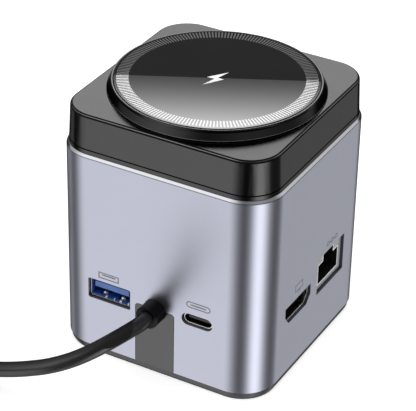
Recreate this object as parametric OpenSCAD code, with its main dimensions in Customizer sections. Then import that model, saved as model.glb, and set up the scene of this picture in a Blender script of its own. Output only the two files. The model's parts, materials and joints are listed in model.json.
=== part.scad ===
// Laptop docking station: an aluminium cube on a dark base, with a round magnetic
// charging puck on its top cap, sockets on two faces and a captive lead.
// Origin: centre of the underside, +Z up. -Y is the face with the lead, +X has the
// display and network sockets.

/* [Housing] */
// Width of the aluminium sleeve
body_w = 65; // [64.5:0.5:68]
// Depth of the aluminium sleeve
body_d = 65.5; // [65:0.5:68]
// Radius of the sleeve's upright corners
corner_r = 10.7; // [10:0.1:11.5]
// Wall thickness of the sleeve
sleeve_t = 1.2; // [1:0.1:1.4]
// Height of the sleeve's lower edge
sleeve_low = 2.4; // [2.2:0.1:2.6]
// Height of the sleeve's upper edge
sleeve_top = 63.7; // [63:0.1:64.2]
// Top of the cap
cap_top = 75.15; // [75:0.05:75.4]
// Thickness of the rubber foot pad
pad_t = 0.5; // [0.4:0.1:0.6]

/* [Charging puck] */
// Radius of the puck's lower rim
puck_r = 30.05; // [29.5:0.05:30.5]
// Top of the glass
glass_top = 78.15; // [78.1:0.05:78.3]
// Radius of the glass
glass_r = 28.25; // [28:0.05:28.3]
// Turns of the charging coil
coil_turns = 9; // [7:1:9]

/* [Sockets] */
// Depth of the sockets' fronts behind the outer faces
recess = 0.9; // [0.7:0.1:1]
// Centre of the USB-A socket across the -Y face
usb_a_x = -14.55; // [-14.8:0.05:-14.3]
// Centre of the USB-C socket across the -Y face
usb_c_x = 13.2; // [13:0.1:13.6]
// Centre of the display socket along the +X face
display_y = -10.4; // [-10.7:0.1:-10.1]
// Centre of the network socket along the +X face
network_y = 9.5; // [9.2:0.1:9.8]

/* [Lead] */
// Diameter of the lead
lead_d = 4.3; // [4.1:0.1:4.3]
// Diameter of the strain relief collar
collar_d = 6.8; // [6.4:0.1:7]
// Length of the collar outside the face
collar_out = 4.6; // [4:0.1:5]

/* [Hidden] */

$fn = 64;
gap = 0.05;                       // clearance between pieces that sit in each other
cx = body_w / 2 - corner_r;       // centres of the upright corners
cy = body_d / 2 - corner_r;
face_x = body_w / 2;              // outer faces of the sleeve
face_y = body_d / 2;

// Heights
base_low = pad_t;
bevel = 0.8;
bevel_in = 0.6;
cap_side_top = 74.6;
cap_plate_t = 2;
cap_wall_t = 1.6;
board_low = 16.4;
board_top = 18;
deck_low = 58;
deck_top = 60;
wireless_low = 64;
wireless_top = 65.2;

// Screws
screw_r = 1.25;
head_r = 2.3;
post_r = 3;
post_x = 24.5;
post_y = 24.7;
cap_screw_at = 19;
wireless_screw_at = 13;
ballast_screw_at = 12;

// Sockets
port_z = 21.7;
usb_c_z = 22.1;
display_z = 21.3;
network_z = 23.55;
usb_a_cut = [13.5, 6.4];
usb_c_cut = [9.5, 3.75];
display_cut = [15.2, 5.7];
network_cut = [16.5, 11.7];
usb_a_out = [13.1, 5.8];
usb_c_out = [8.94, 3.26];
display_out = [14.8, 5.35];
network_out = [16.1, 11.1];
usb_a_sheet = 0.35;               // thickness of the sockets' metal
sheet = 0.3;
usb_a_back = -18;                 // rear of each socket
usb_c_back = -23.5;
display_back = 20.5;
network_back = 13;
network_floor = 19;
cavity_w = 12.3;
cavity_low = -4;                  // below and above the network socket's centre
cavity_top = 2.5;
latch_w = 6.4;
latch_top = 4.6;
front_y = -face_y + recess;
front_x = face_x - recess;

// Panel of the base cover that closes the sleeve's slot
panel_w = 12.2;
panel_top = 21.7;
exit_z = 21.3;
flange_y = -face_y + sleeve_t + gap;

// Puck
puck_low = cap_top + 0.15;
cup_low = cap_top - 1.85;
cup_r = 22.9;
puck_floor = 76.15;
bezel_low = 77.25;
bezel_top = 78;
coil_low = 75.3;

// Lead: route from the collar's mouth to the coil, then the coil and the tail to the plug
lead_r = lead_d / 2;
exit_y = -face_y - collar_out;
route = [
    [0, exit_y, exit_z], [0, -40, 21.3], [-1, -43.5, 21], [-3.5, -49, 19.9],
    [-7, -53.5, 17.9], [-11.5, -57, 15.5], [-17, -59.6, 13.1], [-22.5, -60.7, 10.9],
    [-28, -61.2, 8.8], [-34, -61.2, 6.6], [-40, -61.2, 4.6], [-46, -61.2, 3.1],
    [-52, -61.2, 2.4], [-58, -61.2, 2.2], [-64, -61.2, 2.3], [-70, -61.2, 2.6]
];
tail = [
    [-108, -22.5, 5.4], [-108, -19, 4.6], [-108, -15, 3.8], [-108, -10, 3.3], [-108, -5, 3.3]
];
winding_at = [-84, -37];
winding_r = 22;                   // middle of the turns
winding_cols = 2;
winding_rows = 2;
tie_t = 0.6;
tie_w = 5;
turn_pitch = 4.4;
plug_at = [-108, -5, 3.3];        // where the tail enters the plug's strain relief
plug_relief_l = 11;
plug_l = 24;
tip_l = 6.6;

// ---------- shared shapes ----------

// Flat outline with round corners, inset from the sleeve's outline
module outline(inset) {
    r = corner_r - inset;
    square([2 * (cx + r), 2 * cy], center = true);
    square([2 * cx, 2 * (cy + r)], center = true);
    for (sx = [-1, 1], sy = [-1, 1])
        translate([sx * cx, sy * cy]) circle(r);
}

// Straight slab of that outline
module slab(low, high, inset) {
    translate([0, 0, low]) linear_extrude(high - low) outline(inset);
}

// Slab whose sides lean from one inset at the bottom to another at the top
module leaning_slab(low, high, inset_low, inset_high) {
    h = high - low;
    r0 = corner_r - inset_low;
    r1 = corner_r - inset_high;
    translate([0, 0, low]) {
        for (sx = [-1, 1], sy = [-1, 1])
            translate([sx * cx, sy * cy, 0]) cylinder(h = h, r1 = r0, r2 = r1);
        translate([-cx, 0, 0]) rotate([90, 0, 90]) linear_extrude(2 * cx)
            polygon([[-cy - r0, 0], [cy + r0, 0], [cy + r1, h], [-cy - r1, h]]);
        translate([0, cy, 0]) rotate([90, 0, 0]) linear_extrude(2 * cy)
            polygon([[-cx - r0, 0], [cx + r0, 0], [cx + r1, h], [-cx - r1, h]]);
    }
}

// Rectangle with round corners, centred
module round_rect(size, r) {
    square([size[0] - 2 * r, size[1]], center = true);
    square([size[0], size[1] - 2 * r], center = true);
    for (sx = [-1, 1], sy = [-1, 1])
        translate([sx * (size[0] / 2 - r), sy * (size[1] / 2 - r)]) circle(r);
}

// Outline with round ends
module stadium(size) {
    r = size[1] / 2;
    square([size[0] - 2 * r, size[1]], center = true);
    for (s = [-1, 1]) translate([s * (size[0] / 2 - r), 0]) circle(r);
}

// Display socket's outline: its two lower corners are cut off
module display_outline(size) {
    w = size[0] / 2;
    h = size[1] / 2;
    cut = 0.85 * h;
    polygon([[-w, h], [w, h], [w, cut - h], [w - cut, -h], [cut - w, -h], [-w, cut - h]]);
}

// Solid of a flat outline, standing on the -Y face and going inwards
module on_front(x, z, y0, y1) {
    translate([x, y1, z]) rotate([90, 0, 0]) linear_extrude(y1 - y0) children();
}

// Solid of a flat outline, standing on the +X face and going inwards
module on_side(y, z, x0, x1) {
    translate([x0, y, z]) rotate([90, 0, 90]) linear_extrude(x1 - x0) children();
}

// Size of an outline that is t smaller on every side
function shrunk(size, t) = [size[0] - 2 * t, size[1] - 2 * t];

// Box from its lowest corner to its highest
module block(low, high) {
    translate(low) cube(high - low);
}

// Straight round rod between two points
module rod(a, b, r) {
    d = b - a;
    l = norm(d);
    translate(a) rotate([0, acos(d[2] / l), atan2(d[1], d[0])]) cylinder(h = l, r = r, $fn = 16);
}

// Copies at the four corners of a rectangle
module at_corners(x, y) {
    for (sx = [-1, 1], sy = [-1, 1]) translate([sx * x, sy * y, 0]) children();
}

// Screw with a flat round head whose top is at z = 0, with a cross recess
module screw(length, shank_r, cap_r, cap_h) {
    difference() {
        translate([0, 0, -cap_h]) cylinder(h = cap_h, r = cap_r, $fn = 32);
        block([-cap_r * 0.6, -0.25, -cap_h * 0.55], [cap_r * 0.6, 0.25, 1]);
        block([-0.25, -cap_r * 0.6, -cap_h * 0.55], [0.25, cap_r * 0.6, 1]);
    }
    translate([0, 0, -length]) cylinder(h = length - cap_h, r = shank_r, $fn = 32);
}

// Round tube swept along points, as one closed skin
function along(p, i) = let (n = len(p) - 1) p[min(i + 1, n)] - p[max(i - 1, 0)];
function unit(v) = v / norm(v);
function ring_at(p, i, r, n) =
    let (t = unit(along(p, i)), s = unit(cross(t, [0, 0, 1])), u = cross(s, t))
    [for (k = [0:n - 1]) p[i] + r * cos(360 * k / n) * s + r * sin(360 * k / n) * u];

module tube(p, r, n) {
    points = [for (i = [0:len(p) - 1]) each ring_at(p, i, r, n)];
    walls = [for (i = [0:len(p) - 2], k = [0:n - 1])
        [i * n + k, i * n + (k + 1) % n, (i + 1) * n + (k + 1) % n, (i + 1) * n + k]];
    first = [for (k = [0:n - 1]) n - 1 - k];
    last = [for (k = [0:n - 1]) (len(p) - 1) * n + k];
    polyhedron(points, concat([first], walls, [last]));
}

// ---------- housing ----------

// Window of each socket, cut through the wall
module front_windows() {
    through = [-face_y - 1, -face_y + sleeve_t + 1];
    on_front(usb_a_x, port_z, through[0], through[1]) round_rect(usb_a_cut, 0.6);
    on_front(usb_c_x, usb_c_z, through[0], through[1]) stadium(usb_c_cut);
}

module side_windows() {
    through = [face_x - sleeve_t - 1, face_x + 1];
    on_side(display_y, display_z, through[0], through[1]) display_outline(display_cut);
    on_side(network_y, network_z, through[0], through[1]) round_rect(network_cut, 0.4);
}

// Outline of the slot that the lead's panel fills
module slot_outline(grow) {
    half = panel_w / 2 + grow;
    top = panel_top + grow - exit_z;
    r = 1;
    translate([-half, sleeve_low - 1 - exit_z]) square([2 * half, panel_top - r - sleeve_low + 1]);
    translate([-half + r, -5]) square([2 * half - 2 * r, top + 5]);
    for (s = [-1, 1]) translate([s * (half - r), top - r]) circle(r);
}

module housing_sleeve() {
    color([0.62, 0.63, 0.70]) difference() {
        union() {
            slab(sleeve_low, sleeve_top - bevel, 0);
            leaning_slab(sleeve_top - bevel, sleeve_top, 0, bevel_in);
        }
        slab(sleeve_low - 1, sleeve_top + 1, sleeve_t);
        front_windows();
        side_windows();
        on_front(0, exit_z, -face_y - 1, -face_y + sleeve_t + 1) slot_outline(gap);
        on_front(0, exit_z, -face_y - 1, -face_y + sleeve_t + 1) circle(collar_d / 2 + gap);
    }
}

module base_cover() {
    rim = 1.4;
    lip_top = 6;
    color([0.36, 0.36, 0.37]) difference() {
        union() {
            leaning_slab(base_low, sleeve_low, 0.55, 0.12);
            difference() {
                slab(sleeve_low - 0.1, lip_top, sleeve_t + 0.1);
                slab(sleeve_low - 1, lip_top + 1, sleeve_t + 0.1 + rim);
            }
            at_corners(post_x, post_y)
                translate([0, 0, sleeve_low - 0.1])
                    cylinder(h = board_low - sleeve_low + 0.1, r = post_r);
            for (s = [-1, 1]) translate([s * ballast_screw_at, 0, sleeve_low - 0.1])
                cylinder(h = 5.6, r = post_r);
            on_front(0, exit_z, -face_y, -face_y + sleeve_t + 0.1)
                intersection() {
                    slot_outline(0);
                    translate([-10, sleeve_low - exit_z - 0.1]) square([20, 30]);
                }
            block([-7.4, -face_y + sleeve_t + 0.1, sleeve_low - 0.1], [7.4, -face_y + sleeve_t + 1.3, 15.5]);
        }
        at_corners(post_x, post_y) {
            translate([0, 0, base_low - 1]) cylinder(h = board_low + 2, r = screw_r + 0.2);
            translate([0, 0, base_low - 1]) cylinder(h = 2.5, r = head_r + 0.2);
        }
        for (s = [-1, 1]) translate([s * ballast_screw_at, 0, sleeve_low]) cylinder(h = 6, r = screw_r);
        on_front(0, exit_z, -face_y - 1, -face_y + 3) circle(collar_d / 2 + gap);
    }
}

module foot_pad() {
    color([0.09, 0.09, 0.09]) slab(0, pad_t, 0.85);
}

module base_screws() {
    color([0.55, 0.55, 0.57]) at_corners(post_x, post_y)
        translate([0, 0, base_low + 0.1]) rotate([180, 0, 0]) screw(24, screw_r, head_r, 1.4);
}

module ballast_plate() {
    half = 21;
    low = sleeve_low + gap;
    top = 10.5;
    color([0.45, 0.45, 0.46]) difference() {
        translate([0, 0, low]) linear_extrude(top - low) round_rect([2 * half, 2 * half], 3);
        for (s = [-1, 1]) translate([s * ballast_screw_at, 0, 0]) {
            cylinder(h = 8, r = post_r + 0.1);
            cylinder(h = 12, r = screw_r + 0.15);
        }
    }
}

module ballast_screws() {
    color([0.55, 0.55, 0.57]) for (s = [-1, 1])
        translate([s * ballast_screw_at, 0, 12]) screw(8.4, screw_r - gap, head_r, 1.5);
}

module chassis() {
    rail = 2;
    color([0.16, 0.16, 0.17]) difference() {
        union() {
            at_corners(post_x, post_y)
                translate([0, 0, board_top]) cylinder(h = deck_low - board_top + 0.1, r = post_r);
            slab(deck_low, deck_top, 3);
            at_corners(cap_screw_at, cap_screw_at)
                translate([0, 0, deck_top - 0.1]) cylinder(h = 10.3, r = post_r);
            at_corners(wireless_screw_at, wireless_screw_at)
                translate([0, 0, deck_top - 0.1]) cylinder(h = wireless_low - deck_top + 0.1, r = 2);
            for (s = [-1, 1]) {
                block([s * post_x - rail / 2, -post_y, 44], [s * post_x + rail / 2, post_y, 47]);
                block([-post_x, s * post_y - rail / 2, 52], [post_x, s * post_y + rail / 2, 55]);
            }
        }
        translate([0, 0, deck_low - 1]) cylinder(h = 4, r = 10.5);
        at_corners(post_x, post_y) translate([0, 0, board_top - 1]) cylinder(h = 9, r = screw_r + gap);
        at_corners(cap_screw_at, cap_screw_at) translate([0, 0, 62]) cylinder(h = 10, r = screw_r + gap);
        at_corners(wireless_screw_at, wireless_screw_at) translate([0, 0, 61]) cylinder(h = 5, r = 0.85);
    }
}

// ---------- top cap ----------

module top_cap() {
    groove_low = sleeve_top + 1.15;
    groove_top = groove_low + 0.3;
    plate_low = cap_top - cap_plate_t;
    skirt_low = 58.5;
    color([0.20, 0.20, 0.205]) difference() {
        union() {
            slab(sleeve_top, groove_low, 0.68);
            slab(groove_low - 0.1, groove_top + 0.1, 1);
            leaning_slab(groove_top, cap_side_top, 0.76, 1.2);
            leaning_slab(cap_side_top, cap_top, 1.2, 1.7);
            slab(skirt_low, sleeve_top + 0.1, sleeve_t + 0.1);
        }
        slab(sleeve_top, plate_low, 0.8 + cap_wall_t);
        slab(skirt_low - 1, sleeve_top + 1, sleeve_t + 1.3);
        translate([0, 0, plate_low - 1]) cylinder(h = 4, r = cup_r + 0.3, $fn = 96);
        at_corners(cap_screw_at, cap_screw_at) {
            translate([0, 0, plate_low - 1]) cylinder(h = 4, r = screw_r + 0.15);
            translate([0, 0, cap_top - 1.4]) cylinder(h = 2, r = head_r + 0.1);
        }
    }
    color([0.20, 0.20, 0.205]) at_corners(cap_screw_at, cap_screw_at) difference() {
        translate([0, 0, 70.2]) cylinder(h = plate_low - 70.2 + 0.2, r = post_r);
        translate([0, 0, 70]) cylinder(h = 4, r = screw_r + 0.15);
    }
}

module cap_screws() {
    color([0.55, 0.55, 0.57]) at_corners(cap_screw_at, cap_screw_at)
        translate([0, 0, cap_top - 0.05]) screw(11, screw_r, head_r, 1.3);
}

// ---------- charging puck ----------

module puck_base() {
    lean = (puck_r - 28.9) / (bezel_low - puck_low);
    color([0.07, 0.07, 0.07]) rotate_extrude($fn = 128) polygon([
        [3.5, cup_low], [cup_r, cup_low], [cup_r, puck_low], [puck_r - 0.12, puck_low],
        [puck_r, puck_low + 0.12], [puck_r - lean * (bezel_low - puck_low), bezel_low], [27.5, bezel_low],
        [27.5, puck_floor], [cup_r - 1, puck_floor], [cup_r - 1, cup_low + 1], [3.5, cup_low + 1]
    ]);
}

module puck_bezel() {
    color([0.12, 0.12, 0.125]) rotate_extrude($fn = 128) polygon([
        [glass_r + gap, bezel_low], [28.9, bezel_low], [28.86, bezel_top - 0.2],
        [28.68, bezel_top], [glass_r + gap, bezel_top]
    ]);
}

module glass_plate() {
    edge = 0.2;
    color([0.10, 0.10, 0.11]) rotate_extrude($fn = 128) polygon([
        [0, bezel_low], [glass_r, bezel_low], [glass_r, glass_top - edge], [glass_r - edge, glass_top],
        [0, glass_top]
    ]);
}

module puck_adhesive() {
    color([0.85, 0.85, 0.80]) translate([0, 0, cap_top]) difference() {
        cylinder(h = puck_low - cap_top, r = 29, $fn = 96);
        translate([0, 0, -1]) cylinder(h = 3, r = cup_r + 0.4, $fn = 96);
    }
}

module charging_coil() {
    inner = 9;
    pitch = 1.3;
    wire = 1;
    steps = 24;
    count = coil_turns * steps;
    function wound(i, r) = (r + pitch * i / steps) * [cos(360 * i / steps), sin(360 * i / steps)];
    inside = [for (i = [0:count]) wound(i, inner)];
    outside = [for (i = [count:-1:0]) wound(i, inner + wire)];
    color([0.72, 0.40, 0.20]) translate([0, 0, coil_low]) linear_extrude(1.5)
        polygon(concat(inside, outside));
}

module ferrite_shield() {
    color([0.25, 0.24, 0.24]) translate([0, 0, cup_low + 1]) difference() {
        cylinder(h = 0.9, r = 21.6, $fn = 96);
        translate([0, 0, -1]) cylinder(h = 3, r = 4);
    }
}

module magnet_ring() {
    count = 18;
    step = 360 / count;
    color([0.70, 0.70, 0.72]) for (i = [0:count - 1]) rotate([0, 0, i * step])
        translate([0, 0, puck_floor]) rotate_extrude(angle = step - 1.6, $fn = 128)
            translate([23.4, 0]) square([3.9, 1]);
}

module coil_leads() {
    wire_r = 0.5;
    bend_r = 0.6;
    bend_z = coil_low + 0.9;
    color([0.72, 0.40, 0.20]) for (s = [-1, 1]) {
        rod([s * 1.6, 0, wireless_top], [s * 1.6, 0, bend_z], wire_r);
        rod([s * 1.6, 0, bend_z], [s * 8.6, 0, bend_z], wire_r);
        translate([s * 1.6, 0, bend_z]) sphere(bend_r, $fn = 16);
    }
}

// ---------- wireless power board ----------

module wireless_board() {
    color([0.10, 0.30, 0.20]) translate([0, 0, wireless_low]) difference() {
        linear_extrude(wireless_top - wireless_low) round_rect([31, 31], 2);
        at_corners(wireless_screw_at, wireless_screw_at) translate([0, 0, -1]) cylinder(h = 4, r = 1.1);
    }
}

module wireless_chips() {
    color([0.12, 0.12, 0.13]) {
        block([-10, -4, wireless_top], [-4, 2, wireless_top + 0.9]);
        block([5, 4, wireless_top], [9, 8, wireless_top + 0.9]);
        block([5, -2, wireless_top], [9, 2, wireless_top + 0.9]);
    }
}

module wireless_capacitors() {
    color([0.75, 0.62, 0.42]) for (i = [0:3]) {
        block([-7 + 4 * i, -10, wireless_top], [-4.2 + 4 * i, -7, wireless_top + 1.8]);
        block([-8 + 3 * i, 9, wireless_top], [-6.2 + 3 * i, 12, wireless_top + 1.6]);
    }
}

module wireless_screws() {
    color([0.55, 0.55, 0.57]) at_corners(wireless_screw_at, wireless_screw_at)
        translate([0, 0, wireless_top + 1]) screw(4.8, 0.8, 1.7, 1);
}

// ---------- main board ----------

module main_board() {
    color([0.08, 0.26, 0.17]) difference() {
        slab(board_low, board_top, sleeve_t + 1.1);
        at_corners(post_x, post_y) translate([0, 0, board_low - 1]) cylinder(h = 4, r = screw_r + 0.2);
        block([-5.5, -face_y, board_low - 1], [5.5, flange_y + 2, board_top + 1]);
    }
}

// Square chip on the board, with its rows of legs as a thin skirt on each side
module chip(x, y, size, h) {
    half = size / 2;
    leg = 0.3;
    leg_t = 0.2;
    translate([x, y, board_top]) {
        block([-half, -half, leg_t / 2], [half, half, h]);
        block([-half - leg, -half + 0.5, 0], [half + leg, half - 0.5, leg_t]);
        block([-half + 0.5, -half - leg, 0], [half - 0.5, half + leg, leg_t]);
    }
}

module hub_chip() {
    color([0.12, 0.12, 0.13]) chip(-10, -6, 9, 1);
}

module display_chip() {
    color([0.12, 0.12, 0.13]) chip(8, -8, 7, 1);
}

module network_chip() {
    color([0.12, 0.12, 0.13]) chip(-6, 9, 6, 1);
}

module power_chip() {
    color([0.12, 0.12, 0.13]) chip(13, -18, 5, 1);
}

module network_transformer() {
    leg_pitch = 1.75;
    color([0.10, 0.10, 0.10]) translate([6, 2, board_top]) {
        block([-3.5, 0, 0.2], [3.5, 15, 6]);
        for (s = [-1, 1], i = [0:7]) translate([s * 4, 1 + leg_pitch * i, 0])
            block([-0.6, 0, 0], [0.6, 0.7, 0.5]);
    }
}

module crystals() {
    color([0.75, 0.75, 0.77]) {
        block([-1.5, -4.5, board_top], [1.7, -2, board_top + 0.8]);
        block([-14, 12, board_top], [-10.8, 14.5, board_top + 0.8]);
    }
}

module capacitors() {
    color([0.70, 0.70, 0.72]) for (i = [0:2])
        translate([-24.5, -10 + 9 * i, board_top]) cylinder(h = 6, r = 3.1, $fn = 32);
    color([0.75, 0.62, 0.42]) for (i = [0:4]) {
        block([-16 + 4 * i, 1.5, board_top], [-14 + 4 * i, 2.7, board_top + 0.9]);
        block([-16 + 4 * i, 17.5, board_top], [-14 + 4 * i, 18.7, board_top + 0.9]);
    }
}

module inductors() {
    color([0.22, 0.22, 0.23]) {
        for (x = [-4, 3]) block([x, 22, board_top], [x + 5, 27, board_top + 3]);
        block([14.5, -25, board_low - 3], [19.5, -20, board_low]);
    }
}

module thermal_pads() {
    color([0.55, 0.65, 0.75]) {
        block([-14, -10, board_top + 1], [-6, -2, board_top + 2]);
        block([5, -11, board_top + 1], [11, -5, board_top + 2]);
    }
}

module heat_sink() {
    low = board_top + 2;
    color([0.75, 0.75, 0.77]) {
        block([-15, -12, low], [12.5, 0, low + 2]);
        for (i = [0:8]) block([-15 + 3.3 * i, -12, low + 1.9], [-13.9 + 3.3 * i, 0, low + 9]);
    }
}

// ---------- wiring between the boards ----------

module harness_plugs() {
    color([0.88, 0.86, 0.80]) {
        block([-19, 20.5, board_top], [-9, 25, board_top + 5]);
        block([-8, 3.5, 61.3], [2, 7.5, wireless_low]);
    }
}

module harness_wires() {
    wire_r = 0.6;
    bend_r = 0.75;
    color([0.75, 0.15, 0.12]) for (i = [0:3]) {
        low_bend = [-17 + 2 * i, 22.7, 40];
        high_bend = [-6 + 2 * i, 5.5, 56];
        rod([low_bend[0], low_bend[1], board_top + 5], low_bend, wire_r);
        rod(low_bend, high_bend, wire_r);
        rod(high_bend, [high_bend[0], high_bend[1], 61.3], wire_r);
        translate(low_bend) sphere(bend_r, $fn = 16);
        translate(high_bend) sphere(bend_r, $fn = 16);
    }
}

// ---------- USB-A socket ----------

module usb_a_shell() {
    inside = shrunk(usb_a_out, usb_a_sheet);
    color([0.78, 0.78, 0.80]) difference() {
        union() {
            on_front(usb_a_x, port_z, front_y, usb_a_back) round_rect(usb_a_out, 0.6);
            for (s = [-1, 1], y = [-28, -20]) translate([usb_a_x + s * 6.3, y, 0])
                block([-0.2, 0, board_top], [0.2, 1.2, port_z - 2]);
        }
        on_front(usb_a_x, port_z, front_y - 1, usb_a_back - usb_a_sheet) round_rect(inside, 0.3);
    }
}

module usb_a_insert() {
    block_front = -23;
    color([0.10, 0.25, 0.62]) {
        on_front(usb_a_x, port_z, block_front, usb_a_back - usb_a_sheet - gap)
            round_rect(shrunk(usb_a_out, usb_a_sheet + gap), 0.3);
        translate([usb_a_x, 0, port_z])
            block([-5.5, front_y + 0.6, -0.1], [5.5, block_front + 0.1, 1.75]);
    }
}

// Four contact bars under the tongue, and two domed springs on the shell's floor
module usb_a_contacts() {
    spring_z = -2.53;
    translate([usb_a_x, 0, port_z]) {
        color([0.85, 0.68, 0.30]) for (i = [0:3]) translate([-4 + 2.5 * i, 0, 0])
            block([-0.4, front_y + 1.2, -0.25], [0.4, -23.1, -0.12]);
        color([0.85, 0.85, 0.87]) for (s = [-1, 1]) translate([s * 2.9, 0, spring_z]) {
            translate([0, front_y + 2.3, 0]) difference() {
                sphere(1, $fn = 24);
                translate([-2, -2, -4]) cube([4, 4, 4]);
            }
            block([-0.9, front_y + 2.1, 0], [0.9, -25, 0.23]);
        }
    }
}

// ---------- USB-C socket ----------

module usb_c_shell() {
    color([0.78, 0.78, 0.80]) difference() {
        union() {
            on_front(usb_c_x, usb_c_z, front_y, usb_c_back) stadium(usb_c_out);
            for (s = [-1, 1], y = [-29, -25]) translate([usb_c_x + s * 4.1, y, 0])
                block([-0.2, 0, board_top], [0.2, 1, usb_c_z]);
        }
        on_front(usb_c_x, usb_c_z, front_y - 1, usb_c_back - sheet) stadium(shrunk(usb_c_out, sheet));
    }
}

module usb_c_insert() {
    block_front = -26;
    color([0.10, 0.10, 0.10]) {
        on_front(usb_c_x, usb_c_z, block_front, usb_c_back - sheet - gap)
            stadium(shrunk(usb_c_out, sheet + gap));
        translate([usb_c_x, 0, usb_c_z])
            block([-3.3, front_y + 0.7, -0.35], [3.3, block_front + 0.1, 0.35]);
    }
}

module usb_c_contacts() {
    color([0.85, 0.68, 0.30]) for (s = [-1, 1], i = [0:11]) {
        x = usb_c_x - 2.75 + 0.5 * i;
        z = usb_c_z + s * 0.38;
        block([x - 0.14, front_y + 1, z - 0.03], [x + 0.14, -26.05, z + 0.03]);
    }
}

// ---------- display socket ----------

module display_shell() {
    color([0.78, 0.78, 0.80]) difference() {
        union() {
            on_side(display_y, display_z, display_back, front_x) display_outline(display_out);
            for (s = [-1, 1], x = [22, 28]) translate([x, display_y + s * 7.2, 0])
                block([0, -0.2, board_top], [1.2, 0.2, display_z]);
        }
        on_side(display_y, display_z, display_back + sheet, front_x + 1)
            display_outline(shrunk(display_out, sheet));
    }
}

module display_insert() {
    block_front = display_back + 3;
    color([0.10, 0.10, 0.10]) {
        on_side(display_y, display_z, display_back + sheet + gap, block_front)
            display_outline(shrunk(display_out, sheet + gap));
        translate([0, display_y, display_z])
            block([block_front - 0.1, -6.2, 0.1], [front_x - 1.2, 6.2, 1.3]);
    }
}

// Nine contact bars above the tongue and nine below it
module display_contacts() {
    color([0.85, 0.68, 0.30]) for (i = [0:8], z = [-0.02, 1.32])
        translate([0, display_y - 4 + i, display_z + z])
            block([display_back + 3.1, -0.2, 0], [front_x - 1.6, 0.2, 0.1]);
}

// ---------- network socket ----------

// Opening for the plug, with the notch for its latch above
module cavity_outline(grow) {
    translate([-cavity_w / 2 - grow, cavity_low - grow])
        square([cavity_w + 2 * grow, cavity_top - cavity_low + 2 * grow]);
    translate([-latch_w / 2 - grow, 0]) square([latch_w + 2 * grow, latch_top + grow]);
}

module network_shield() {
    color([0.78, 0.78, 0.80]) difference() {
        on_side(network_y, network_z, network_back, front_x) square(network_out, center = true);
        on_side(network_y, network_z, network_back + sheet, front_x - sheet)
            square(shrunk(network_out, sheet), center = true);
        on_side(network_y, network_z, front_x - 1, front_x + 1) cavity_outline(0.15);
    }
}

module network_housing() {
    color([0.05, 0.05, 0.05]) difference() {
        on_side(network_y, network_z, network_back + sheet + gap, front_x - sheet - gap)
            square(shrunk(network_out, sheet + gap), center = true);
        on_side(network_y, network_z, network_floor, front_x + 1) cavity_outline(0);
    }
}

module network_contacts() {
    color([0.85, 0.68, 0.30]) for (i = [0:7]) {
        y = network_y - 3.57 + 1.02 * i;
        low = network_z + cavity_low;
        rod([network_floor + 0.5, y, low + 2.6], [front_x - 4, y, low + 0.45], 0.22);
    }
}

// ---------- lead inside the housing ----------

module strain_relief() {
    r = collar_d / 2;
    bore = lead_r + 0.02;
    flange_r = 4.7;
    wall = sleeve_t + gap;
    color([0.08, 0.08, 0.085]) translate([0, -face_y, exit_z]) rotate([90, 0, 0])
        rotate_extrude() polygon([
            [bore, -wall - 1.5], [flange_r, -wall - 1.5], [flange_r, -wall - 0.1], [r, -wall - 0.1],
            [r, collar_out - 0.35], [r - 0.35, collar_out], [bore, collar_out]
        ]);
}

module lead_clamp() {
    color([0.70, 0.70, 0.72]) difference() {
        union() {
            block([-3.6, -27, board_top], [3.6, -23, 24.4]);
            block([-6.9, -27, board_top], [6.9, -23, board_top + 1.2]);
        }
        on_front(0, exit_z, -28, -22) circle(lead_r + gap);
        for (s = [-1, 1]) translate([s * 5.3, -25, board_top - 1]) cylinder(h = 4, r = 0.95);
    }
}

module clamp_screws() {
    color([0.55, 0.55, 0.57]) for (s = [-1, 1])
        translate([s * 5.3, -25, board_top + 2.2]) screw(2.2, 0.85, 1.5, 1);
}

module lead_end() {
    color([0.06, 0.06, 0.065]) on_front(0, exit_z, exit_y, -21.5) circle(lead_r, $fn = 32);
}

module lead_cores() {
    shades = ["firebrick", "black", "white", "forestgreen", "royalblue"];
    for (i = [0:4]) {
        a = [-1.1 + 0.55 * i, -21.35, exit_z];
        b = [-4.4 + 2.2 * i, -17, board_top + 0.4];
        color(shades[i]) rod(a, b, 0.25);
    }
}

// ---------- lead outside the housing ----------

module cord_tube() {
    color([0.06, 0.06, 0.065]) tube(route, lead_r, 8);
}

module cord_tail() {
    color([0.06, 0.06, 0.065]) tube(tail, lead_r, 8);
}

// Ring of the stored turns, two side by side and two deep
module cord_coil() {
    wide = winding_cols * turn_pitch;
    high = (winding_rows - 1) * turn_pitch + lead_d;
    color([0.06, 0.06, 0.065]) translate([winding_at[0], winding_at[1], tie_t]) rotate_extrude($fn = 96)
        translate([winding_r - wide / 2, 0]) square([wide, high]);
}

module cord_tie() {
    wide = winding_cols * turn_pitch / 2 + 0.3;
    high = (winding_rows - 1) * turn_pitch + lead_d;
    color([0.10, 0.10, 0.10]) translate([winding_at[0], winding_at[1] + winding_r, 0]) difference() {
        block([-tie_w / 2, -wide - tie_t, 0], [tie_w / 2, wide + tie_t, high + 2 * tie_t]);
        block([-tie_w, -wide, tie_t - 0.01], [tie_w, wide, high + tie_t + 0.05]);
    }
}

// ---------- plug ----------

module plug_relief() {
    color([0.08, 0.08, 0.085]) translate(plug_at) rotate([-90, 0, 0]) difference() {
        cylinder(h = plug_relief_l, r1 = 2.6, r2 = 3);
        translate([0, 0, -1]) cylinder(h = plug_relief_l + 2, r = lead_r);
    }
}

module plug_body() {
    color([0.10, 0.10, 0.105]) translate(plug_at + [0, plug_relief_l + plug_l, 0]) rotate([90, 0, 0])
        linear_extrude(plug_l) round_rect([12, 6.4], 2.8);
}

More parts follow.
